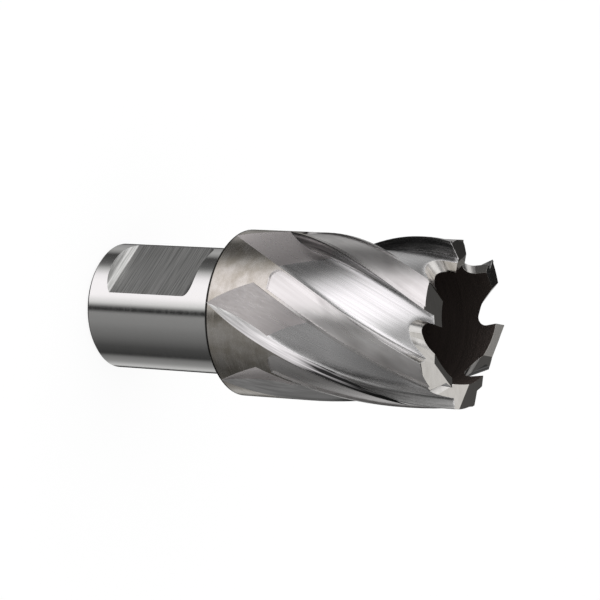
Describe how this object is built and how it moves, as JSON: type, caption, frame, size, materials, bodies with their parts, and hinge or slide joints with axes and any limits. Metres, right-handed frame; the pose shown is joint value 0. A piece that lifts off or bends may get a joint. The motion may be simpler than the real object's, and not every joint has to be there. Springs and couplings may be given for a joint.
{
  "type": "annular cutter",
  "caption": "Hollow annular cutter for a magnetic drill: round shank with driving flats, fluted cylindrical body and a ring of stepped, bevelled teeth around a deep core bore.",
  "frame": {"origin": "centre of the shank's end face", "axes": "+Z along the axis from the shank to the teeth; +X and +Y face out of the two driving flats"},
  "size_m": [0.025, 0.025, 0.0611],
  "materials": {
    "ground_steel": "ground flutes and flats, turned body, polished shank"
  },
  "bodies": {
    "root": {"cutter_body": "ground_steel"}
  },
  "joints": []
}
